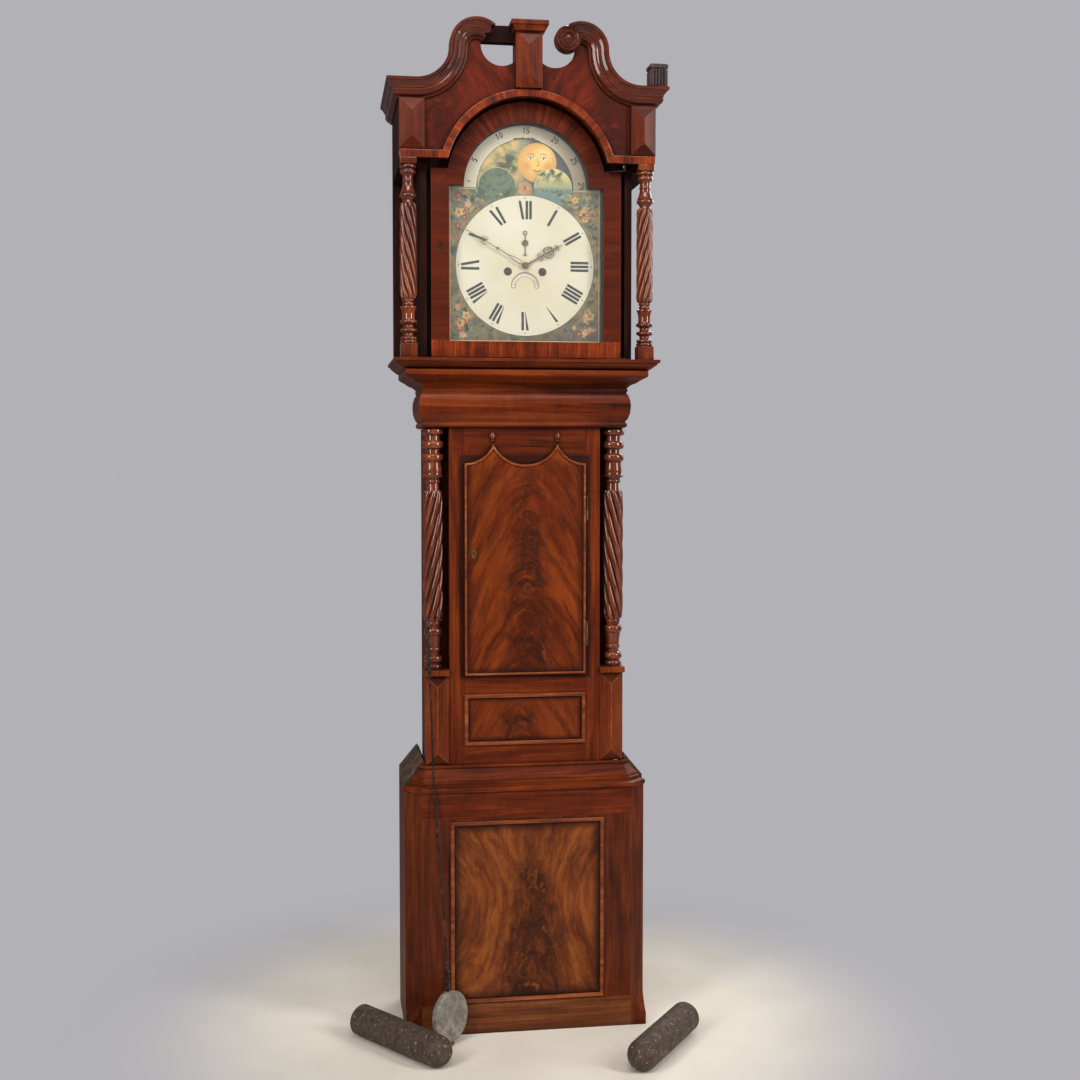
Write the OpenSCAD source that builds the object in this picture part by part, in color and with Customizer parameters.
// Longcase clock with a painted arch dial: oak and mahogany case, sliding hood, eight-day movement,
// and the pendulum and both weights taken out and set down beside it. Millimetres, +Z up, front at -Y,
// origin at the centre of the base's underside.

/* [Base] */
// width of the base
base_w = 566; // [520:1:620]
// depth of the base
base_d = 250; // [220:1:300]
// height of the base below its top moulding
base_h = 567; // [500:1:620]
// width of each canted corner, seen from the front
base_cant = 36; // [20:1:50]
// thickness of the case boards
board_t = 18; // [12:1:24]
// height at which the canted corner stops
cant_stop = 82; // [50:1:120]
// width of the applied panel bead on the base
base_panel_w = 360; // [300:1:420]
// lower edge of the base panel bead
base_panel_low = 75; // [50:1:120]
// upper edge of the base panel bead
base_panel_top = 501; // [440:1:540]
// width of the applied beads
bead_w = 9; // [5:1:14]
// how far the applied beads stand out
bead_out = 5; // [2:0.5:8]

/* [Trunk] */
// width of the trunk
trunk_w = 452; // [420:1:480]
// distance from the base's front to the trunk's front
trunk_setback = 40; // [25:1:60]
// height of the trunk's top
trunk_top = 1540; // [1450:1:1620]
// width of each corner niche that holds a column
niche_w = 49; // [44:1:56]
// depth of each corner niche
niche_d = 54; // [50:1:60]
// width of the lower panel bead
low_panel_w = 286; // [240:1:320]
// height of the lower panel bead above the base
low_panel_up = 103; // [80:1:120]
// height of the lower panel bead
low_panel_h = 120; // [100:1:140]

/* [Trunk door] */
// width of the door
door_w = 284; // [250:1:310]
// height of the door's lower edge above the base
door_up = 268; // [255:1:290]
// height of the door at its outer corners
door_corner = 1327; // [1280:1:1340]
// height of the two pointed horns
door_peak = 1371; // [1350:1:1385]
// distance of each horn from the centre line
door_peak_x = 75; // [60:1:90]
// height of the door at the middle of its top
door_dip = 1324; // [1300:1:1340]
// thickness of the lip that covers the frame
door_lip_t = 8; // [6:0.5:10]
// thickness of the part that fits the opening
door_inner_t = 14; // [10:1:18]
// overlap of the lip on the frame
door_lap = 6; // [4:1:10]
// clearance round the part in the opening
door_gap = 2; // [1:0.5:4]

/* [Columns] */
// radius of the twisted trunk columns
trunk_col_r = 24.5; // [20:0.5:27]
// height of the trunk columns' feet above the base
trunk_col_up = 281; // [273:1:293]
// height of the trunk columns' tops
trunk_col_top = 1410; // [1400:1:1420]
// reeds round a trunk column
trunk_strands = 11; // [8:1:14]
// height of one full turn of a reed on the trunk
trunk_lead = 390; // [300:10:600]
// radius of the twisted hood columns
hood_col_r = 19; // [16:0.5:22]
// reeds round a hood column
hood_strands = 10; // [8:1:14]
// height of one full turn of a reed on the hood
hood_lead = 315; // [250:5:500]

/* [Hood] */
// height of the hood base's underside
hood_low = 1540; // [1450:1:1620]
// height of the moulded hood base
hood_base_h = 25; // [20:1:32]
// half width of the hood base at its edge
hood_base_hw = 305; // [290:1:320]
// half width between the outer faces of the hood's sides
hood_side_hw = 245; // [235:1:255]
// height of the frieze's underside
frieze_low = 2009; // [1990:1:2030]
// half width of the frieze
frieze_hw = 292; // [280:1:300]
// height of the cornice's underside
cornice_low = 2139; // [2120:1:2160]
// width of the cornice moulding and the swan necks
neck_w = 42; // [34:1:50]
// how far the cornice stands out from the frieze
cornice_out = 28; // [20:1:34]
// height of the centre of the hood's arch
arch_z = 1965; // [1950:1:1980]
// radius of the opening under the arch moulding
arch_r = 187; // [180:1:195]
// width of the arch moulding
arch_band_w = 17; // [12:1:24]
// distance of the swan neck's lower bend from the centre line
bend_x = 255; // [245:1:265]
// radius of the upper edge at the swan neck's lower bend
bend_r = 75; // [65:1:85]
// distance of the swan neck's top bend from the centre line
crest_x = 118; // [110:1:126]
// radius of the hollow under the swan neck's top bend
crest_r = 20; // [14:1:26]
// radius of the turned roundel
roundel_r = 29; // [22:1:34]
// width of the centre plinth
plinth_w = 60; // [50:1:70]
// width of the centre plinth's cap
plinth_cap_w = 84; // [74:1:94]

/* [Dial] */
// width of the dial plate
dial_w = 360; // [340:1:380]
// height of the centre of the hands
dial_z = 1781.5; // [1760:0.5:1800]
// height of the centre of the dial's arch
moon_z = 1957; // [1940:1:1970]
// radius of the dial's arch
dial_arch_r = 146; // [138:1:152]
// radius of the moon opening
moon_open_r = 113; // [105:1:120]
// radius of each hump below the moon opening
hump_r = 44.5; // [40:0.5:48]
// distance of each hump from the centre line
hump_x = 65; // [60:1:70]
// distance of the winding holes from the centre line
wind_x = 40.3; // [38:0.1:43]
// distance of the winding holes below the centre
wind_drop = 13.8; // [10:0.1:18]
// distance of the seconds arbor above the centre
seconds_up = 51.4; // [48:0.1:56]
// length of the minute hand
minute_len = 158; // [140:1:165]
// length of the hour hand
hour_len = 98; // [85:1:110]

/* [Movement] */
// width of the movement plates
plate_w = 124; // [116:1:130]
// depth of the movement plates below the centre
plate_down = 85; // [80:1:90]
// height of the movement plates above the centre
plate_up = 95; // [90:1:105]
// thickness of a movement plate
plate_t = 3; // [2:0.5:4]
// gap between the movement plates
plate_gap = 62; // [56:1:66]
// radius of a barrel
barrel_r = 24; // [20:0.5:26]
// radius of the bell
bell_r = 42; // [36:1:48]
// radial clearance of arbors and pipes in their holes
run_fit = 0.06; // [0.02:0.01:0.1]

/* [Pendulum and weights] */
// radius of the pendulum bob
bob_r = 57; // [50:1:65]
// thickness of the pendulum bob
bob_t = 20; // [14:1:26]
// radius of the pendulum rod
rod_r = 2.5; // [2:0.1:3.5]
// radius of a weight
weight_r = 35; // [30:1:40]

/* [Hidden] */
$fn = 64;

wood_red = [0.33, 0.12, 0.06];
wood_lit = [0.55, 0.22, 0.09];
wood_bare = [0.36, 0.32, 0.27];
brass_c = [0.62, 0.50, 0.26];
steel_c = [0.45, 0.45, 0.46];
paint_c = [0.80, 0.74, 0.58];
iron_c = [0.24, 0.21, 0.19];
lead_c = [0.42, 0.43, 0.43];

base_hw = base_w / 2;
front_hw = base_hw - base_cant;
base_y = -base_d / 2;
back_y = base_d / 2;
backboard_t = 16;
back_in_y = back_y - backboard_t;
trunk_hw = trunk_w / 2;
stile_hw = trunk_hw - niche_w;
trunk_y = base_y + trunk_setback;
frame_t = 20;
step_h = 56;
low_panel_low = base_h + low_panel_up;
low_panel_top = low_panel_low + low_panel_h;
door_low = base_h + door_up;
trunk_col_low = base_h + trunk_col_up;
trunk_low = base_h + step_h;
skin = 0.01;
far = 3000;

// hood planes, front to back
side_t = 16;
hood_y = base_y - 28;
hood_path_y = hood_y + 55;
hood_path_hw = hood_base_hw - 55;
column_block = 37;
column_block_y = hood_y + 3;
hood_col_x = frieze_hw - column_block / 2 - 2;
hood_col_y = column_block_y + column_block / 2;
hood_base_top = hood_low + hood_base_h;
tympanum_y = base_y - 15;
tympanum_t = 14;
band_out = 11;
hood_door_y = base_y + 9;
hood_door_t = 20;
mask_y = hood_door_y + hood_door_t + 1;
mask_t = 6;
dial_y = mask_y + mask_t + 1;
dial_t = 2;
plate_y = dial_y + 40;
back_plate_y = plate_y + plate_t + plate_gap;
rear_face = back_plate_y + plate_t;
cornice_top = cornice_low + neck_w;
roof_t = 16;
crest_z = cornice_top + bend_r;

module board(x0, x1, y0, y1, z0, z1) {
  translate([x0, y0, z0]) cube([x1 - x0, y1 - y0, z1 - z0]);
}

module both() {
  children();
  mirror([1, 0, 0]) children();
}

// a flat shape drawn in X and Z, from plane y backwards by t
module face(y, t) {
  translate([0, y + t, 0]) rotate([90, 0, 0]) linear_extrude(t) children();
}

function turn_left(d) = [d[1], -d[0]];
function unit(v) = v / norm(v);
function mitre(a, b) = (a + b) / (1 + a * b);

// sweeps a profile (outward, up) along a path whose first and last points only set the end mitres
module sweep_path(path, reach, high) {
  for (i = [1 : len(path) - 3]) {
    a = path[i];
    b = path[i + 1];
    d = unit(b - a);
    n = turn_left(d);
    n_before = turn_left(unit(a - path[i - 1]));
    n_after = turn_left(unit(path[i + 2] - b));
    ma = mitre(n_before, n);
    mb = mitre(n, n_after);
    intersection() {
      translate([a[0], a[1], 0]) rotate([0, 0, atan2(d[1], d[0])]) mirror([0, 1, 0])
        rotate([90, 0, 90]) translate([0, 0, -reach * 2])
          linear_extrude(norm(b - a) + reach * 4) children();
      linear_extrude(high)
        polygon([a - ma * reach, a + ma * reach, b + mb * reach, b - mb * reach]);
    }
  }
}

// a rectangular bead: outline w by z0..z1 on the plane y
module frame_bead(w, z0, z1, y) {
  face(y - bead_out, bead_out) difference() {
    translate([-w / 2, z0]) square([w, z1 - z0]);
    translate([-w / 2 + bead_w, z0 + bead_w]) square([w - bead_w * 2, z1 - z0 - bead_w * 2]);
  }
}

// a block whose front is hipped to a ridge, centred on x = 0, standing on z = 0, back at y = 0
module hipped(w, h, d, rise) {
  intersection() {
    linear_extrude(h)
      polygon([[-w / 2, 0], [-w / 2, -d], [0, -d - rise], [w / 2, -d], [w / 2, 0]]);
    translate([-w / 2, 0, 0]) rotate([90, 0, 90]) linear_extrude(w)
      polygon([[0, 0], [-d, 0], [-d - rise, w / 2], [-d - rise, h - w / 2], [-d, h], [0, h]]);
  }
}

// turned work from a list of [height, radius]
module turned(steps) {
  rotate_extrude()
    polygon(concat([[0, steps[0][0]]], [for (s = steps) [s[1], s[0]]], [[0, steps[len(steps) - 1][0]]]));
}

// points of one moulded ring: height, half height, radius, sink
function ring(z, h, r, sink) = [
  [z - h, r - sink], [z - h, r - sink * 0.3], [z - h * 0.5, r], [z + h * 0.5, r],
  [z + h, r - sink * 0.3], [z + h, r - sink]
];

// a reeded shaft; hand is 1 or -1
module twisted(r, z0, z1, strands, lead, hand) {
  groove = r * 0.13;
  step = 360 / strands;
  translate([0, 0, z0])
    linear_extrude(z1 - z0, twist = hand * 360 * (z1 - z0) / lead, slices = 15)
      polygon([for (i = [0 : strands - 1]) for (p = [[0, r - groove], [0.22, r - groove * 0.1],
        [0.5, r], [0.78, r - groove * 0.1]]) [p[1] * cos((i + p[0]) * step), p[1] * sin((i + p[0]) * step)]]);
}

// ---- base

bearer_hw = 40;
bearer_h = 14;

// the front board, with a bearer from it to the backboard
module base_front() color(wood_red) {
  board(-front_hw, front_hw, base_y, base_y + board_t, 0, base_h);
  board(-bearer_hw, bearer_hw, base_y + board_t / 2, back_in_y, 0, bearer_h);
}

module base_sides() color(wood_red) both() {
  board(base_hw - board_t, base_hw, base_y + base_cant, back_in_y, 0, base_h);
}

// square below, canted above a lip, with a hollow stop between
module corner_post() {
  depth = base_cant / sqrt(2);
  drop = cant_stop - 28;
  stop_r = (drop * drop + depth * depth) / (2 * depth);
  lip = 4;
  difference() {
    board(front_hw, base_hw, base_y, base_y + base_cant, 0, base_h);
    translate([0, 0, cant_stop + lip]) linear_extrude(base_h)
      polygon([[front_hw, base_y], [front_hw, base_y - depth], [base_hw + depth, base_y - depth],
        [base_hw + depth, base_y + base_cant], [base_hw, base_y + base_cant]]);
    translate([base_hw, base_y, cant_stop]) rotate([0, 0, 45]) rotate([0, 90, 0])
      translate([0, stop_r * -1 + depth, 0]) cylinder(r = stop_r, h = base_cant * 2, center = true);
  }
}

module base_corners() color(wood_red) both() corner_post();

module base_bead() color(wood_lit) frame_bead(base_panel_w, base_panel_low, base_panel_top, base_y);

// outward from the base's front, up from the base's top
base_profile = [
  [-trunk_setback, 0], [0, 0], [3, 2], [4, 7], [2.5, 12], [-2, 14], [-10, 15], [-10, 22],
  [-15, 24], [-15, 28], [-34, 49], [-34, 51], [-31.5, 53], [-31.5, 57], [-34, step_h + 3],
  [-trunk_setback, step_h + 3]
];

module base_moulding() color(wood_lit) {
  sweep_path([[-base_hw, back_y], [-base_hw, base_y + base_cant], [-front_hw, base_y],
    [front_hw, base_y], [base_hw, base_y + base_cant], [base_hw, back_y]], trunk_setback, far)
    translate([0, base_h]) polygon(base_profile);
}

// bare sloping boards that close the step at each side
module shoulder_boards() color(wood_bare) both() {
  translate([0, back_y, 0]) rotate([90, 0, 0]) linear_extrude(base_d - base_cant - 17)
    polygon([[base_hw - board_t, base_h], [base_hw, base_h], [base_hw, base_h + 20],
      [trunk_hw + plinth_out + 7, base_h + 72], [trunk_hw + plinth_out + 1, base_h + 65],
      [base_hw - board_t, base_h + 16]]);
}

module backboard() color(wood_bare) {
  board(-trunk_hw, trunk_hw, back_in_y, back_y, 0, frieze_low - 20);
  both() board(trunk_hw, base_hw, back_in_y, back_y, 0, base_h);
}

// ---- trunk

seat_t = 18;
seat_top = dial_z - plate_down;
seat_low = seat_top - seat_t;
seat_y0 = trunk_y + 25;
seat_y1 = rear_face + 40;
niche_y = trunk_y + niche_d;
niche_t = 12;

module trunk_sides() color(wood_red) both() {
  board(trunk_hw - side_t, trunk_hw, niche_y + niche_t, back_in_y, base_h, trunk_top);
  board(stile_hw, trunk_hw, niche_y, niche_y + niche_t, trunk_low, trunk_top);
  board(stile_hw - niche_t, stile_hw, trunk_y + frame_t, niche_y + niche_t, trunk_low, trunk_top);
  board(trunk_hw - side_t, trunk_hw, seat_y0, back_in_y, trunk_top, seat_low);
}

opening_hw = door_w / 2 - door_lap;
opening_low = door_low + door_lap;
opening_top = min(door_corner, door_dip) - door_lap;

module trunk_frame() color(wood_lit) {
  face(trunk_y, frame_t) difference() {
    translate([-stile_hw, base_h]) square([stile_hw * 2, trunk_top - base_h]);
    translate([-opening_hw, opening_low]) square([opening_hw * 2, opening_top - opening_low]);
  }
  both() board(stile_hw, trunk_hw, trunk_y, niche_y, trunk_col_top, trunk_top);
}

trunk_col_x = trunk_hw - 13.5;
trunk_col_y = trunk_y + 24;
trunk_twist_low = trunk_col_low + 113;
trunk_twist_top = trunk_col_top - 147;

// heights from the foot
trunk_foot = concat([[0, 19]], ring(6.5, 5.5, 21, 3), [[13, 17], [15, 17]], ring(24.5, 8, 22, 5),
  [[34, 14.5], [41, 14.5]], ring(47, 4.5, 17.5, 2), [[53, 15.5], [66, 16.5], [79, 19]],
  ring(88.5, 8, 22, 4), [[98, 16], [103, 16]], ring(108, 4, 18, 2), [[113, 17]]);
// heights from the top
trunk_head = concat([[-147, 17], [-142, 15], [-129, 15]], ring(-124.5, 3.5, 18.5, 2), [[-120, 17],
  [-116, 18], [-115, 24], [-112, 25.5], [-109, 22], [-104, 21.5], [-97, 22.5], [-88, 21], [-80, 20.5]],
  ring(-69, 8, 26, 5), [[-60, 16.5], [-51, 16.5]], ring(-40, 9, 26, 6), [[-30, 18], [-19, 18]],
  ring(-9, 8, 27.5, 6), [[0, 25]]);

module trunk_column(hand) {
  translate([trunk_col_x, trunk_col_y, 0]) {
    translate([0, 0, trunk_col_low]) turned(trunk_foot);
    translate([0, 0, trunk_col_top]) turned(trunk_head);
    twisted(trunk_col_r, trunk_twist_low, trunk_twist_top, trunk_strands, trunk_lead, hand);
  }
}

module trunk_column_left() color(wood_lit) mirror([1, 0, 0]) trunk_column(1);

module trunk_column_right() color(wood_lit) trunk_column(1);

cap_h = 13;
cap_over = 10;
plinth_out = 7;

module column_plinths() color(wood_lit) both() {
  translate([(stile_hw + trunk_hw + plinth_out) / 2, niche_y, trunk_low + 3])
    hipped(niche_w + plinth_out, trunk_col_low - cap_h - trunk_low - 3, niche_d - 2, 7);
  board(stile_hw, trunk_hw + cap_over, trunk_y - cap_over, niche_y, trunk_col_low - cap_h,
    trunk_col_low);
}

module trunk_panel_bead() color(wood_lit) frame_bead(low_panel_w, low_panel_low, low_panel_top, trunk_y);

bud_r = 7.5;
bud_low = door_peak + 4;

module bud_ornaments() color(wood_lit) intersection() {
  both() translate([door_peak_x + 1, trunk_y, bud_low])
    turned([[0, 2], [3, 5], [5, 6.5], [8, 3.5], [10, 6], [15, bud_r], [21, 5.5], [26, 2], [29, 0.5]]);
  board(-trunk_hw, trunk_hw, trunk_y - bud_r * 2, trunk_y, 0, far);
}

// outward from the trunk's front and sides, up from the columns' tops
throat_profile = [
  [0, 0], [8, 0], [12, 3], [13, 6], [12, 10], [9, 13], [10, 15], [15, 22], [19, 34], [20.5, 50],
  [19.5, 62], [16, 74], [11, 81], [13, 84], [14, 88], [12, 92], [14, 93], [17, 96], [21, 99],
  [31, 103], [38, 108], [47, 113], [52, 116], [54, 118], [54, 130], [0, 130]
];

module throat_moulding() color(wood_lit) {
  sweep_path([[-trunk_hw, back_y * 2], [-trunk_hw, back_y], [-trunk_hw, trunk_y], [trunk_hw, trunk_y],
    [trunk_hw, back_y], [trunk_hw, back_y * 2]], 60, far)
    translate([0, trunk_top - 130]) polygon(throat_profile);
}

line_slot = 8;

module seat_board() color(wood_bare) difference() {
  board(-trunk_hw, trunk_hw, seat_y0, seat_y1, seat_low, seat_top);
  both() translate([wind_x + barrel_r, plate_y + plate_gap / 2, seat_low - 1])
    linear_extrude(seat_t + 2) square([line_slot * 2, plate_gap - 20], center = true);
  board(-12, 12, rear_face + 2, seat_y1 + 1, seat_low - 1, seat_top + 1);
}

// ---- trunk door

module door_outline(inset) {
  centre_r = (pow(door_peak_x, 2) + pow(door_peak - door_dip, 2)) / (2 * (door_peak - door_dip));
  side_run = door_w / 2 - door_peak_x;
  side_r = (pow(side_run, 2) + pow(door_peak - door_corner, 2)) / (2 * (door_peak - door_corner));
  difference() {
    translate([-door_w / 2 + inset, door_low + inset])
      square([door_w - inset * 2, door_peak - door_low - inset * 2]);
    translate([0, door_dip + centre_r]) circle(centre_r + inset, $fn = 96);
    for (s = [-1, 1]) translate([s * door_w / 2, door_corner + side_r])
      circle(side_r + inset, $fn = 96);
  }
}

module trunk_door() color(wood_lit) {
  face(trunk_y - door_lip_t, door_lip_t) door_outline(0);
  board(-opening_hw + door_gap, opening_hw - door_gap, trunk_y, trunk_y + door_inner_t,
    opening_low + door_gap, opening_top - door_gap);
}

module trunk_door_bead() color(wood_lit) {
  face(trunk_y - door_lip_t - bead_out * 0.6, bead_out * 0.6) difference() {
    door_outline(0);
    door_outline(bead_w * 0.6);
  }
}

knuckle_r = 3.2;
trunk_hinge_x = door_w / 2 + knuckle_r + 0.3;
trunk_hinge_y = trunk_y - door_lip_t + 3;
hinge_h = 51;
trunk_hinge_z = [903, 1197];

module trunk_door_hinges() color(brass_c) for (z = trunk_hinge_z) {
  translate([trunk_hinge_x, trunk_hinge_y, z]) cylinder(r = knuckle_r, h = hinge_h);
  translate([trunk_hinge_x, trunk_hinge_y, z - 3]) cylinder(r = knuckle_r - 1, h = hinge_h + 6);
  difference() {
    board(door_w / 2, trunk_hinge_x, trunk_hinge_y - 1, trunk_hinge_y + 1, z, z + hinge_h);
    translate([trunk_hinge_x, trunk_hinge_y, z - 1]) cylinder(r = knuckle_r, h = hinge_h + 2);
  }
}

lock_z = 1120;
lock_w = 34;
lock_h = 50;
lock_t = 11;
bolt_w = 22;
bolt_h = 10;
bolt_t = 3;
lock_x = -opening_hw + door_gap;
bolt_y = trunk_y + frame_t + 0.5;

module trunk_lock() color(brass_c) {
  difference() {
    board(lock_x, lock_x + lock_w, trunk_y + door_inner_t, trunk_y + door_inner_t + lock_t,
      lock_z - lock_h / 2, lock_z + lock_h / 2);
    board(lock_x - 1, lock_x + bolt_w, bolt_y - run_fit, bolt_y + bolt_t + run_fit,
      lock_z - bolt_h / 2 - run_fit, lock_z + bolt_h / 2 + run_fit);
  }
  face(trunk_y - door_lip_t - 1.2, 1.2) translate([lock_x + 13, lock_z]) difference() {
    union() {
      circle(7);
      translate([-4, -13]) square([8, 13]);
    }
    circle(2.4);
    translate([-1, -7]) square([2, 7]);
  }
}

module trunk_lock_bolt() color(steel_c) {
  board(lock_x, lock_x + bolt_w - 1, bolt_y, bolt_y + bolt_t, lock_z - bolt_h / 2,
    lock_z + bolt_h / 2);
}

// ---- hood

hood_profile = [
  [-5, 0], [28, 0], [34, 2], [42, 8], [48, 13], [50, 15], [50, 17], [55, 18], [55, hood_base_h],
  [-5, hood_base_h]
];
hood_inner = hood_side_hw - side_t;

module hood_base() color(wood_lit) {
  sweep_path([[-hood_path_hw, back_y * 2], [-hood_path_hw, back_y], [-hood_path_hw, hood_path_y],
    [hood_path_hw, hood_path_y], [hood_path_hw, back_y], [hood_path_hw, back_y * 2]], 60, far)
    translate([0, hood_low]) polygon(hood_profile);
  both() board(hood_inner, hood_path_hw - 5, hood_path_y + 5, back_y, hood_low, hood_base_top);
  translate([hood_hinge_x, hood_hinge_y, hood_base_top]) cylinder(r = hood_pin_r, h = hood_pin_h);
}

capital_h = 14;
column_top = frieze_low - capital_h;
frieze_t = 15;

module hood_sides() color(wood_red) both() {
  board(hood_inner, hood_side_hw, hood_door_y + 4, back_y, hood_base_top, frieze_low);
  board(hood_side_hw, frieze_hw, column_block_y + column_block, back_y, column_top, frieze_low);
  board(frieze_hw - frieze_t, frieze_hw, tympanum_y + tympanum_t, back_y, frieze_low,
    cornice_top - roof_t);
  board(hood_side_hw, frieze_hw, back_in_y, back_y, hood_base_top, column_top);
}

module mask_opening(w, r) {
  translate([-w / 2, dial_z - 176]) square([w, moon_z - dial_z + 176]);
  translate([0, moon_z]) circle(r, $fn = 96);
}

module hood_mask() color(wood_red) face(mask_y, mask_t) difference() {
  translate([-hood_inner, hood_base_top]) square([hood_inner * 2, cornice_top - roof_t - hood_base_top]);
  mask_opening(dial_w - 8, dial_arch_r - 4);
}

hood_block_h = 31;
hood_twist_low = 101;
hood_twist_top = -85;
hood_foot = concat([[0, 16]], ring(4, 3.5, 19, 2.5), ring(12, 3.5, 18.5, 2.5), [[17, 12.5], [20, 11],
  [24, 12]], ring(30, 4, 19, 4), [[36, 12], [39, 11], [43, 12]], ring(49, 4, 19.5, 4), [[55, 14.5],
  [64, 14], [72, 15], [79, 16.5], [80, 18], [83, 18], [84.5, 13]], ring(88.5, 3, 13, 1.5), [[93, 11]],
  ring(97, 3, 13.5, 1.5), [[hood_twist_low, 13]]);
hood_head = concat([[-85, 13], [-80, 11.5], [-76, 14]], ring(-69, 4, 19, 3), [[-63, 17.5], [-56, 14.5],
  [-48, 12.5], [-41, 11.5]], ring(-38, 2, 13, 1), [[-35, 11.5], [-27, 11.5], [-23, 13]],
  ring(-17, 4.5, 18, 4), [[-11, 14]], ring(-5, 4, 19, 3), [[0, 17.5]]);

module hood_column(hand) {
  board(hood_col_x - column_block / 2, hood_col_x + column_block / 2, column_block_y,
    column_block_y + column_block, hood_base_top, hood_base_top + hood_block_h);
  board(hood_col_x - column_block / 2, hood_col_x + column_block / 2, column_block_y,
    column_block_y + column_block, column_top, frieze_low);
  translate([hood_col_x, hood_col_y, 0]) {
    translate([0, 0, hood_base_top + hood_block_h]) turned(hood_foot);
    translate([0, 0, column_top]) turned(hood_head);
    twisted(hood_col_r, hood_base_top + hood_block_h + hood_twist_low, column_top + hood_twist_top,
      hood_strands, hood_lead, hand);
  }
}

module hood_column_left() color(wood_lit) mirror([1, 0, 0]) hood_column(-1);

module hood_column_right() color(wood_lit) hood_column(-1);

notch_r = 47;
notch_x = 61;
plinth_low = arch_z + arch_r + arch_band_w;

module tympanum() color(wood_red) {
  tympanum_board();
  translate([hood_hinge_x, hood_hinge_y, hood_door_shoulder])
    cylinder(r = hood_pin_r, h = frieze_low - hood_door_shoulder);
}

module tympanum_board() face(tympanum_y, tympanum_t) difference() {
  union() {
    translate([-frieze_hw, frieze_low]) square([frieze_hw * 2, cornice_top - frieze_low]);
    for (s = [-1, 1]) {
      translate([s * crest_x, crest_z]) circle(crest_r + neck_w - 3);
      translate([s * (crest_x + bend_x - bend_r) / 2 - (bend_x - bend_r - crest_x) / 2, frieze_low])
        square([bend_x - bend_r - crest_x, crest_z - frieze_low]);
      translate([s * bend_x / 2 - bend_x / 2, cornice_top - 1]) square([bend_x, crest_z - cornice_top + 1]);
    }
  }
  translate([0, arch_z]) circle(arch_r, $fn = 128);
  for (s = [-1, 1]) {
    translate([s * bend_x, crest_z]) circle(bend_r + 2, $fn = 96);
    translate([s * notch_x, crest_z + 10]) circle(notch_r);
  }
  translate([-notch_x - notch_r, crest_z + 10]) square([(notch_x + notch_r) * 2, neck_w * 3]);
  translate([-plinth_w / 2, plinth_low]) square([plinth_w, neck_w * 8]);
}

strip_h = 18;

module arch_band() color(wood_lit) face(tympanum_y - band_out, band_out) {
  difference() {
    union() {
      intersection() {
        translate([0, arch_z]) circle(arch_r + arch_band_w, $fn = 128);
        translate([-frieze_hw, frieze_low]) square([frieze_hw * 2, far]);
      }
      translate([-frieze_hw, frieze_low]) square([frieze_hw * 2, strip_h]);
    }
    translate([0, arch_z]) circle(arch_r, $fn = 128);
  }
}

frieze_block_w = 57;

module frieze_blocks() color(wood_lit) both() {
  translate([frieze_hw - frieze_block_w / 2, tympanum_y, frieze_low + strip_h])
    hipped(frieze_block_w, cornice_low - frieze_low - strip_h, band_out, 8);
}

// outward, then across from the lower edge to the upper edge
neck_profile = [
  [0, 0], [5, 0], [6, 3], [8, 4], [13, 7], [16, 12], [16.5, 16], [15, 20], [17, 21], [17, 24],
  [19, 26], [22, 31], [26, 35], [cornice_out, 36], [cornice_out, neck_w], [0, neck_w]
];

// a stretch of moulding bent about a centre; flip puts the upper edge on the inside
module bent(cx, cz, r_low, flip, a0, a1) {
  translate([cx, tympanum_y, cz]) rotate([90, 0, 0]) rotate([0, 0, a0])
    rotate_extrude(angle = a1 - a0, $fn = 96)
      polygon([for (p = neck_profile) [flip ? r_low - p[1] : r_low + p[1], p[0]]]);
}

module cornice_side() {
  sweep_path([[0, tympanum_y], [bend_x, tympanum_y], [frieze_hw, tympanum_y], [frieze_hw, back_y],
    [frieze_hw, back_y * 2]], cornice_out * 2, far)
    translate([0, cornice_low]) polygon(neck_profile);
}

module swan_neck(a_end) {
  cornice_side();
  bent(bend_x, crest_z, bend_r + neck_w, true, 180, 270);
  bent(crest_x, crest_z, crest_r, false, 0, a_end);
}

broken_a = 131;

module swan_neck_left() color(wood_lit) mirror([1, 0, 0]) difference() {
  swan_neck(broken_a);
  translate([crest_x - 36, tympanum_y - far / 2, crest_z + 40]) rotate([-90, 0, 0]) cylinder(r = 6, h = far);
  translate([crest_x - 22, tympanum_y - far / 2, crest_z + 27]) rotate([-90, 0, 0]) cylinder(r = 4, h = far);
}

roundel_x = 87;
roundel_z = crest_z + 23;

module roundel_space() {
  translate([roundel_x, tympanum_y + tympanum_t, roundel_z]) rotate([90, 0, 0])
    cylinder(r = roundel_r, h = cornice_out * 3);
}

module swan_neck_right() color(wood_lit) difference() {
  swan_neck(118);
  roundel_space();
}

module scroll_roundel() color(wood_lit) {
  translate([roundel_x, tympanum_y, roundel_z]) rotate([90, 0, 0])
    turned([[0, roundel_r - 2], [0, roundel_r], [24, roundel_r], [29, 27], [31, 24.5], [28, 22.5],
      [27, 21], [29, 19], [31, 16.5], [29, 14], [27, 12.5], [30, 9], [33, 5], [34, 0.5]]);
}

module pediment_rail() color(wood_red) {
  board(-crest_x, -plinth_w / 2, tympanum_y + tympanum_t, tympanum_y + tympanum_t + 24,
    crest_z + 19, cap_low);
  board(-crest_x, -plinth_cap_w / 2, tympanum_y + tympanum_t, tympanum_y + tympanum_t + 24,
    cap_low, crest_z + 56);
}

cap_low = crest_z + 37;
plinth_cap_h = 22;
plinth_depth = 58;
plinth_back_y = tympanum_y + plinth_depth - band_out - 6;

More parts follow.
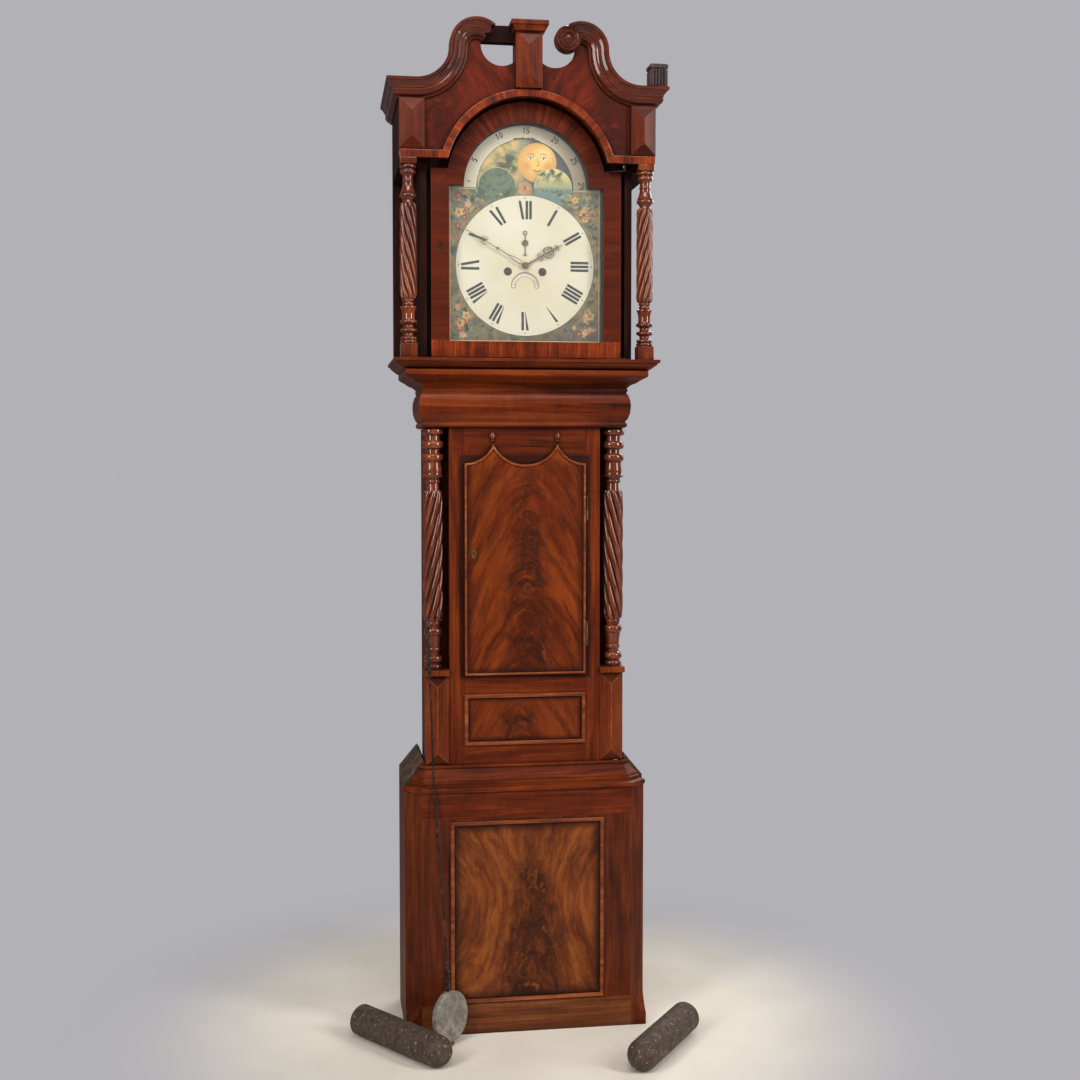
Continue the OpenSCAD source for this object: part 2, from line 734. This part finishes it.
module centre_plinth() color(wood_lit) {
  translate([0, plinth_back_y, plinth_low])
    hipped(plinth_w, cap_low - plinth_low, plinth_depth, 6);
  translate([0, tympanum_y + 8, cap_low]) rotate([0, 0, 45]) {
    cylinder(r1 = (plinth_w + 8) / sqrt(2), r2 = (plinth_cap_w - 6) / sqrt(2), h = 12, $fn = 4);
    translate([0, 0, 12]) cylinder(r = plinth_cap_w / sqrt(2), h = plinth_cap_h - 12, $fn = 4);
  }
}

block_w = 36;
block_slab = 42;
block_x = frieze_hw + 6;
block_y = tympanum_y + 2;

module finial_block() color(wood_red) translate([block_x, block_y, cornice_top]) {
  translate([-block_w / 2, -block_w / 2, 0]) cube([block_w, block_w, 44]);
  for (i = [-2 : 2]) for (s = [0 : 3]) rotate([0, 0, s * 90])
    translate([i * block_w / 5, -block_w / 2, 4]) cylinder(r = 3, h = 36);
  translate([-block_slab / 2, -block_slab / 2, 44]) cube([block_slab, block_slab, 7]);
  translate([-block_w / 2 - 1, -block_w / 2 - 1, 51]) cube([block_w + 2, block_w + 2, 2]);
}

module hood_roof() color(wood_red) difference() {
  board(-frieze_hw, frieze_hw, tympanum_y + tympanum_t, back_y, cornice_top - roof_t, cornice_top);
  board(-plinth_w / 2, plinth_w / 2, tympanum_y, plinth_back_y, cornice_top - roof_t - 1, cornice_top + 1);
}

// ---- hood door

hood_door_hw = 219;
hood_door_low = hood_base_top + 4;
hood_pin_h = 4;
hood_door_shoulder = column_top - 2;
hood_door_arch_r = arch_r - 5;
glass_lap = 5;
glass_t = 3;

module hood_door_outline(inset) {
  translate([-hood_door_hw + inset, hood_door_low + inset])
    square([hood_door_hw * 2 - inset * 2, hood_door_shoulder - hood_door_low - inset * 2]);
  translate([0, arch_z]) circle(hood_door_arch_r - inset, $fn = 128);
}

module hood_lock(grow) {
  board(-hood_door_hw + 8, -hood_door_hw + 36, hood_door_y + 11, hood_door_y + hood_door_t - 1 + grow,
    hood_lock_z - 21, hood_lock_z + 21);
}

module hood_door() color(wood_lit) difference() {
  hood_door_frame();
  hood_lock(2);
}

module hood_door_frame() {
  face(hood_door_y, 8) difference() {
    hood_door_outline(0);
    mask_opening(dial_w - 4, dial_arch_r - 2);
  }
  face(hood_door_y + 8, hood_door_t - 8) difference() {
    hood_door_outline(0);
    mask_opening(dial_w - 4 + glass_lap * 2, dial_arch_r - 2 + glass_lap);
    translate([-dial_w / 2 - 3, dial_z - 176 - glass_lap]) square([dial_w + 6, 20]);
  }
}

module hood_door_glass() color([0.8, 0.85, 0.85, 0.3]) face(hood_door_y + 8, glass_t) {
  difference() {
    union() {
      mask_opening(dial_w - 4 + glass_lap * 2 - 1, dial_arch_r - 2 + glass_lap - 0.5);
      translate([-dial_w / 2 - 2.5, dial_z - 176 - glass_lap + 0.5]) square([dial_w + 5, 20]);
    }
  }
}

strap_t = 2.5;
hood_hinge_x = hood_door_hw + 3;
hood_hinge_y = hood_door_y - 24;
strap_w = 12;
hood_pin_r = 1.6;
hood_lock_z = 1821;

module hood_door_fittings() color(brass_c) {
  for (z = [hood_door_low - strap_t, hood_door_shoulder]) translate([0, 0, z]) linear_extrude(strap_t)
    difference() {
      union() {
        translate([hood_hinge_x, hood_hinge_y]) circle(4);
        polygon([[hood_hinge_x - 4, hood_hinge_y], [hood_hinge_x + 3.4, hood_hinge_y + 2],
          [hood_door_hw, hood_door_y + strap_w], [hood_door_hw - 36, hood_door_y + strap_w],
          [hood_door_hw - 36, hood_door_y + 2]]);
      }
      translate([hood_hinge_x, hood_hinge_y]) circle(hood_pin_r + run_fit);
    }
  face(hood_door_y - 1.2, 1.2) translate([-197, hood_lock_z]) difference() {
    union() {
      circle(6);
      translate([-3.5, -11]) square([7, 11]);
    }
    circle(2);
    translate([-0.8, -6]) square([1.6, 6]);
  }
  hood_lock(0);
}

// ---- dial and hands

date_drop = 46.9;
date_r = 27;
date_band = 9;
moon_disc_r = moon_open_r + 3;
date_disc_r = 34;
disc_y = dial_y + dial_t + 1.5;
disc_t = 1.2;
stud_r = 3;
foot_x = 54;
foot_z = [-74, 40];

module dial_holes() {
  difference() {
    intersection() {
      translate([0, moon_z]) circle(moon_open_r, $fn = 96);
      translate([-moon_open_r, moon_z]) square([moon_open_r * 2, moon_open_r]);
    }
    for (s = [-1, 1]) translate([s * hump_x, moon_z + 3]) circle(hump_r);
    translate([0, moon_z]) circle(17);
  }
  translate([0, dial_z]) {
    circle(4.6);
    translate([0, seconds_up]) circle(2.5);
    for (s = [-1, 1]) translate([s * wind_x, -wind_drop]) circle(5.5);
    translate([0, -date_drop]) difference() {
      circle(date_r + date_band / 2);
      circle(date_r - date_band / 2);
      translate([-date_r * 2, -date_r * 2]) square([date_r * 4, date_r * 2]);
    }
  }
}

module dial_plate() color(paint_c) {
  face(dial_y, dial_t) difference() {
    union() {
      translate([-dial_w / 2, dial_z - 178]) square([dial_w, moon_z - dial_z + 178]);
      translate([0, moon_z]) circle(dial_arch_r, $fn = 96);
    }
    dial_holes();
  }
  translate([0, dial_y + dial_t + 5, moon_z]) rotate([90, 0, 0]) cylinder(r = stud_r, h = 5);
  translate([0, dial_y + dial_t + 5, dial_z - date_drop]) rotate([90, 0, 0]) cylinder(r = stud_r, h = 5);
  for (z = foot_z) both() translate([foot_x, plate_y, dial_z + z]) rotate([90, 0, 0])
    cylinder(r = 3, h = plate_y - dial_y - dial_t);
}

// a toothed wheel drawn flat: teeth, pitch radius, tooth height above and below, width share, turn
module toothed(n, pr, up, down, share, turn) {
  step = 360 / n;
  rotate(turn) polygon([for (i = [0 : n - 1]) for (p = [[-share, pr - down], [-share * 0.42, pr + up],
    [share * 0.42, pr + up], [share, pr - down]])
    [p[1] * cos((i + p[0] / 2) * step), p[1] * sin((i + p[0] / 2) * step)]]);
}

// wheel, arbor or pipe on an axis along Y, by its front and back planes
module disc_at(x, z, y0, y1) {
  translate([x, y1, z]) rotate([90, 0, 0]) linear_extrude(y1 - y0) children();
}

module moon_disc() color([0.16, 0.20, 0.27]) disc_at(0, moon_z, disc_y, disc_y + disc_t) difference() {
  toothed(118, moon_disc_r - 2, 1, 1, 0.6, 0);
  circle(stud_r + run_fit);
}

module date_disc() color(paint_c) disc_at(0, dial_z - date_drop, disc_y, disc_y + disc_t) difference() {
  toothed(62, date_disc_r - 1.5, 0.8, 0.8, 0.6, 0);
  circle(stud_r + run_fit);
}

arbor_r = 2;
cannon_r = 3.1;
hour_pipe_r = 4.4;
hand_t = 1;
minute_a = 300;
hour_a = 60;
minute_y = dial_y - 8;
hour_y = dial_y - 4.5;
seconds_y = dial_y - 2.2;

// clockwise angle from twelve, seen from the front
module at_hour(a) {
  rotate(-a) children();
}

module hour_hand() color(brass_c) {
  disc_at(0, dial_z, hour_y, hour_y + hand_t) difference() {
    at_hour(hour_a) union() {
      circle(8);
      polygon([[-2.6, 6], [2.6, 6], [1.6, hour_len * 0.36], [-1.6, hour_len * 0.36]]);
      difference() {
        union() {
          translate([0, hour_len * 0.44]) circle(9);
          for (s = [-1, 1]) translate([s * 7, hour_len * 0.58]) circle(8);
          translate([0, hour_len * 0.7]) circle(7);
        }
        for (s = [-1, 1]) {
          translate([s * 4, hour_len * 0.44]) circle(2.6);
          translate([s * 8, hour_len * 0.59]) circle(4);
        }
        translate([0, hour_len * 0.71]) circle(2.8);
      }
      polygon([[-3, hour_len * 0.75], [3, hour_len * 0.75], [0.6, hour_len], [-0.6, hour_len]]);
    }
    circle(cannon_r + 0.1);
  }
  disc_at(0, dial_z, hour_y + hand_t, dial_y + 30) difference() {
    circle(hour_pipe_r);
    circle(cannon_r + 0.1);
  }
  disc_at(0, dial_z, dial_y + 28, dial_y + 29.5) difference() {
    toothed(72, 21, 0.6, 0.8, 0.6, 0);
    circle(hour_pipe_r);
  }
}

module minute_hand() color(brass_c) {
  disc_at(0, dial_z, minute_y, minute_y + hand_t) difference() {
    at_hour(minute_a) union() {
      circle(7);
      polygon([[-2.6, 5], [2.6, 5], [1.3, minute_len * 0.62], [-1.3, minute_len * 0.62]]);
      translate([0, minute_len * 0.46]) circle(3);
      difference() {
        union() {
          translate([0, minute_len * 0.65]) circle(6.5);
          for (s = [-1, 1]) translate([s * 5, minute_len * 0.71]) circle(6);
          translate([0, minute_len * 0.77]) circle(5.5);
        }
        for (s = [-1, 1]) translate([s * 5.5, minute_len * 0.71]) circle(2.4);
        translate([0, minute_len * 0.65]) circle(2.6);
        translate([0, minute_len * 0.775]) circle(2);
      }
      polygon([[-2, minute_len * 0.8], [2, minute_len * 0.8], [0.4, minute_len], [-0.4, minute_len]]);
    }
    circle(cannon_r);
  }
  disc_at(0, dial_z, minute_y - 1.5, minute_y) difference() {
    circle(5);
    circle(cannon_r);
  }
}

seconds_ring = 24;
seconds_tip = 29;
escape_arbor_r = 1.2;

module seconds_hand() color(brass_c) {
  disc_at(0, dial_z + seconds_up, seconds_y, seconds_y + 0.8) difference() {
    union() {
      circle(3.6);
      polygon([[-1.6, 2], [1.6, 2], [0.4, -seconds_tip], [-0.4, -seconds_tip]]);
      translate([-1, 0]) square([2, seconds_ring - 7]);
      translate([0, seconds_ring - 4]) difference() {
        circle(4.6);
        circle(3);
      }
    }
    circle(escape_arbor_r);
  }
}

// ---- movement

pillar_r = 5;
pillar_x = plate_w / 2 - 9;
anchor_up = 80;
third_x = 16.05;
third_up = 28.03;
pin_x = -30;
pin_up = 25.7;
hammer_x = -36;
hammer_up = 72;
great_y = plate_y + plate_t + 47;
great_t = 3;
centre_y = great_y + 7;
third_y = plate_y + plate_t + 1.5;
escape_y = plate_y + plate_t + 26;
wheel_t = 1.5;
barrel_arbor_r = 3.5;
pinion_r = 1.5;

module holes() {
  circle(cannon_r + run_fit);
  translate([0, seconds_up]) circle(escape_arbor_r + run_fit);
  for (s = [-1, 1]) translate([s * wind_x, -wind_drop]) circle(barrel_arbor_r + run_fit);
  for (p = [[third_x, third_up], [pin_x, pin_up], [0, anchor_up], [hammer_x, hammer_up]])
    translate(p) circle(pinion_r + run_fit);
}

module plate(y) {
  disc_at(0, dial_z, y, y + plate_t) difference() {
    translate([-plate_w / 2, -plate_down]) square([plate_w, plate_down + plate_up]);
    holes();
  }
}

module movement_plates() color(brass_c) {
  plate(plate_y);
  plate(back_plate_y);
  for (z = [-plate_down + 8, plate_up - 8]) both()
    disc_at(pillar_x, dial_z + z, plate_y + plate_t, back_plate_y) circle(pillar_r);
  difference() {
    board(-14, 14, rear_face, rear_face + 22, dial_z + plate_up - 24, dial_z + plate_up - 2);
    board(-9, 9, rear_face - 1, rear_face + 18, dial_z + plate_up - 25, dial_z + plate_up - 1);
    disc_at(0, dial_z + anchor_up, rear_face, rear_face + 30) circle(pinion_r + run_fit);
  }
}

great_teeth = 96;
centre_leaves = 8;
mesh_r = norm([wind_x, wind_drop]);
great_pr = mesh_r * great_teeth / (great_teeth + centre_leaves);
centre_pinion_pr = mesh_r - great_pr;
third_mesh = norm([third_x, third_up]);
centre_pr = third_mesh * 60 / 68;
third_pinion_pr = third_mesh - centre_pr;
escape_mesh = norm([third_x, seconds_up - third_up]);
third_pr = escape_mesh * 56 / 63;
escape_pinion_pr = escape_mesh - third_pr;
pin_mesh = norm([wind_x + pin_x, wind_drop + pin_up]);
strike_pr = pin_mesh * 78 / 86;
pin_pinion_pr = pin_mesh - strike_pr;
share = 0.62;

// angle of the line from a to b
function line_a(a, b) = atan2(b[1] - a[1], b[0] - a[0]);

module barrel(x, teeth, pr, turn) {
  z = dial_z - wind_drop;
  disc_at(x, z, great_y, great_y + great_t) difference() {
    toothed(teeth, pr, 0.5, 0.9, share, turn);
    circle(barrel_arbor_r);
  }
  disc_at(x, z, great_y - 42, great_y) difference() {
    circle(barrel_r);
    circle(barrel_arbor_r);
  }
  disc_at(x, z, plate_y - 1, back_plate_y + plate_t) circle(barrel_arbor_r);
  disc_at(x, z, dial_y + 4, plate_y - 1) square(5, center = true);
}

module going_barrel() color(brass_c)
  barrel(wind_x, great_teeth, great_pr, line_a([wind_x, -wind_drop], [0, 0]));

module strike_barrel() color(brass_c)
  barrel(-wind_x, 78, strike_pr, line_a([-wind_x, -wind_drop], [pin_x, pin_up]));

module centre_wheel() color(brass_c) {
  disc_at(0, dial_z, centre_y, centre_y + wheel_t) difference() {
    toothed(60, centre_pr, 0.5, 0.9, share, line_a([0, 0], [third_x, third_up]));
    circle(arbor_r);
  }
  disc_at(0, dial_z, great_y - 2, great_y + great_t + 2) difference() {
    toothed(centre_leaves, centre_pinion_pr, 0.4, 0.9, share * 0.9,
      line_a([0, 0], [wind_x, -wind_drop]) + 180 / centre_leaves);
    circle(arbor_r);
  }
  disc_at(0, dial_z, plate_y + plate_t, back_plate_y + plate_t) circle(arbor_r);
  disc_at(0, dial_z, minute_y - 1.5, plate_y + plate_t) circle(cannon_r);
}

module third_wheel() color(brass_c) {
  disc_at(third_x, dial_z + third_up, third_y, third_y + wheel_t) difference() {
    toothed(56, third_pr, 0.5, 0.9, share, line_a([third_x, third_up], [0, seconds_up]));
    circle(pinion_r);
  }
  disc_at(third_x, dial_z + third_up, centre_y - 2, centre_y + wheel_t + 2) difference() {
    toothed(8, third_pinion_pr, 0.4, 0.9, share * 0.9, line_a([third_x, third_up], [0, 0]) + 22.5);
    circle(pinion_r);
  }
  disc_at(third_x, dial_z + third_up, plate_y, back_plate_y + plate_t) circle(pinion_r);
}

escape_r = 19;

module escape_wheel() color(brass_c) {
  disc_at(0, dial_z + seconds_up, escape_y, escape_y + wheel_t) difference() {
    toothed(30, escape_r - 2, 2, 1, 0.4, 0);
    circle(escape_arbor_r);
  }
  disc_at(0, dial_z + seconds_up, third_y - 1, third_y + wheel_t + 2) difference() {
    toothed(7, escape_pinion_pr, 0.4, 0.9, share * 0.9,
      line_a([0, seconds_up], [third_x, third_up]) + 180 / 7);
    circle(escape_arbor_r);
  }
  disc_at(0, dial_z + seconds_up, seconds_y, back_plate_y + plate_t) circle(escape_arbor_r);
}

module pin_wheel() color(brass_c) {
  disc_at(pin_x, dial_z + pin_up, centre_y + 2, centre_y + 2 + wheel_t) difference() {
    toothed(64, 25.6, 0.5, 0.9, share, 0);
    circle(pinion_r);
  }
  disc_at(pin_x, dial_z + pin_up, great_y - 2, great_y + great_t + 2) difference() {
    toothed(8, pin_pinion_pr, 0.4, 0.9, share * 0.9,
      line_a([pin_x, pin_up], [-wind_x, -wind_drop]) + 22.5);
    circle(pinion_r);
  }
  disc_at(pin_x, dial_z + pin_up, plate_y, back_plate_y + plate_t) circle(pinion_r);
}

pallet_gap = 2.2;

module anchor() color(steel_c) {
  disc_at(0, dial_z + anchor_up, escape_y - 1, escape_y + wheel_t + 1) difference() {
    union() {
      circle(4);
      for (s = [-1, 1]) polygon([[0, 3], [s * 19, -11], [s * 15.5, -15], [s * 13, -12], [0, -3]]);
    }
    circle(pinion_r);
    translate([0, seconds_up - anchor_up]) circle(escape_r + pallet_gap);
  }
  disc_at(0, dial_z + anchor_up, plate_y, rear_face + 22) circle(pinion_r);
  disc_at(0, dial_z + anchor_up, rear_face + 6, rear_face + 8) difference() {
    union() {
      circle(4);
      translate([-1.5, -anchor_up - 20]) square([3, anchor_up + 18]);
    }
    circle(pinion_r);
  }
  for (s = [-1, 1]) board(s * 4 - 1.2, s * 4 + 1.2, rear_face + 8, rear_face + 22,
    dial_z - 20, dial_z - 17);
  board(-5.2, 5.2, rear_face + 6, rear_face + 8, dial_z - 20, dial_z - 17);
}

bell_up = 112;
bell_top = dial_z + bell_up + bell_r + 6;
bell_stand_x = 17;
bell_y = plate_y + plate_t + 24;

module bell() color(brass_c) {
  translate([0, bell_y, dial_z + bell_up]) rotate_extrude() difference() {
    intersection() {
      translate([0, -2]) scale(1) circle(bell_r, $fn = 96);
      square([bell_r, bell_r]);
    }
    translate([0, -2]) circle(bell_r - 2.5, $fn = 96);
  }
  translate([0, bell_y, bell_top - 10]) cylinder(r = 3, h = 10);
  board(-4, 4, bell_y, rear_face + 6, bell_top, bell_top + 3);
  board(bell_stand_x, bell_stand_x + 8, rear_face, rear_face + 3, dial_z + plate_up - 40, bell_top + 3);
  board(-4, bell_stand_x + 8, rear_face + 3, rear_face + 6, bell_top - 9, bell_top + 3);
}

module hammer() color(steel_c) {
  disc_at(hammer_x, dial_z + hammer_up, plate_y, back_plate_y + plate_t) circle(pinion_r);
  disc_at(hammer_x, dial_z + hammer_up, bell_y - 1.5, bell_y + 1.5) difference() {
    union() {
      circle(4);
      polygon([[-2, 0], [2, 0], [2, 20], [-10.5, 42], [-10.5, 48], [-14.5, 48], [-14.5, 41], [-2, 19]]);
    }
    circle(pinion_r);
  }
  translate([hammer_x - 18, bell_y, dial_z + hammer_up + 48]) rotate([0, 90, 0]) cylinder(r = 5, h = 10);
}

// ---- pendulum and weights, set down beside the case

foot_at = [-184, base_y - 58, 0.5];
strip_at = [-192, base_y - 45, 177];
mid_at = [-218, base_y - 6.2, 583];
tip_at = [-230, base_y + 13, 970];

// stands a +Z shape along the direction from a to b, starting at a
module along(a, b) {
  u = unit(b - a);
  tilt = -asin(u[1]);
  translate(a) rotate([tilt, asin(u[0] / cos(tilt)), 0]) children();
}

strip_w = 13;
strip_t = 2.4;
bob_up = 66;
nut_r = 6;
screw_r = 2;
head_len = 130;

module pendulum_rod() color(steel_c) {
  along(strip_at, mid_at) cylinder(r = rod_r, h = norm(mid_at - strip_at));
  translate(mid_at) sphere(rod_r * 1.08);
  along(mid_at, tip_at) {
    cylinder(r = rod_r, h = norm(tip_at - mid_at) - head_len);
    translate([-strip_w * 0.3, -strip_t / 2, norm(tip_at - mid_at) - head_len - 3])
      cube([strip_w * 0.6, strip_t, head_len + 3]);
  }
  along(foot_at, strip_at) {
    translate([0, 0, bob_up + bob_r + 0.5]) rotate([0, 0, bob_turn]) translate([-strip_w / 2, -strip_t, 0])
      cube([strip_w, strip_t * 2, norm(strip_at - foot_at) - bob_up - bob_r + 3]);
    cylinder(r = screw_r, h = bob_up + bob_r + 2);
  }
}

bob_turn = 45;

module pendulum_bob() color(lead_c) along(foot_at, strip_at) difference() {
  translate([0, 0, bob_up]) rotate([0, 0, bob_turn]) rotate([90, 0, 0]) {
    cylinder(r = bob_r, h = bob_t * 0.5, center = true);
    for (s = [0, 1]) mirror([0, 0, s]) translate([0, 0, bob_t * 0.25])
      cylinder(r1 = bob_r, r2 = bob_r * 0.82, h = bob_t * 0.25);
  }
  translate([0, 0, -1]) cylinder(r = screw_r + 0.1, h = bob_up * 2 + bob_r);
}

module rating_nut() color(brass_c) along(foot_at, strip_at) difference() {
  translate([0, 0, 1.5]) cylinder(r = nut_r, h = bob_up - bob_r - 2);
  cylinder(r = screw_r + run_fit, h = bob_up);
}

left_far = [-387, -80.4];
left_near = [-228, -295.4];
right_far = [366, -180];
right_near = [217, -385];
hook_r = 5;

module weight(at_far, at_near, roll) {
  d = at_near - at_far;
  len_w = norm(d);
  translate([at_far[0], at_far[1], weight_r]) rotate([0, 0, atan2(d[1], d[0])]) rotate([0, 90, 0]) {
    cylinder(r1 = weight_r - 5, r2 = weight_r, h = 5);
    translate([0, 0, 5]) cylinder(r = weight_r, h = len_w - 5);
    translate([0, 0, len_w]) intersection() {
      sphere(weight_r);
      cylinder(r = weight_r * 2, h = weight_r * 2);
    }
    translate([0, 0, -5]) cylinder(r = 5, h = 5);
    translate([0, 0, -11]) rotate([0, 0, roll]) rotate([90, 0, 0])
      rotate_extrude() translate([7, 0]) circle(2);
  }
}

module weight_left() color(iron_c) weight(left_far, left_near, 20);

module weight_right() color(iron_c) weight(right_far, right_near, -50);

base_front();
base_sides();
base_corners();
base_bead();
base_moulding();
shoulder_boards();
backboard();
trunk_sides();
trunk_frame();
trunk_column_left();
trunk_column_right();
column_plinths();
trunk_panel_bead();
bud_ornaments();
throat_moulding();
seat_board();
dial_plate();
movement_plates();
bell();
trunk_door();
trunk_door_bead();
trunk_door_hinges();
trunk_lock();
trunk_lock_bolt();
hood_base();
hood_sides();
hood_mask();
hood_column_left();
hood_column_right();
tympanum();
arch_band();
frieze_blocks();
swan_neck_left();
swan_neck_right();
scroll_roundel();
pediment_rail();
centre_plinth();
finial_block();
hood_roof();
hood_door();
hood_door_glass();
hood_door_fittings();
moon_disc();
date_disc();
hour_hand();
minute_hand();
seconds_hand();
going_barrel();
strike_barrel();
centre_wheel();
third_wheel();
escape_wheel();
pin_wheel();
anchor();
hammer();
pendulum_rod();
pendulum_bob();
rating_nut();
weight_left();
weight_right();
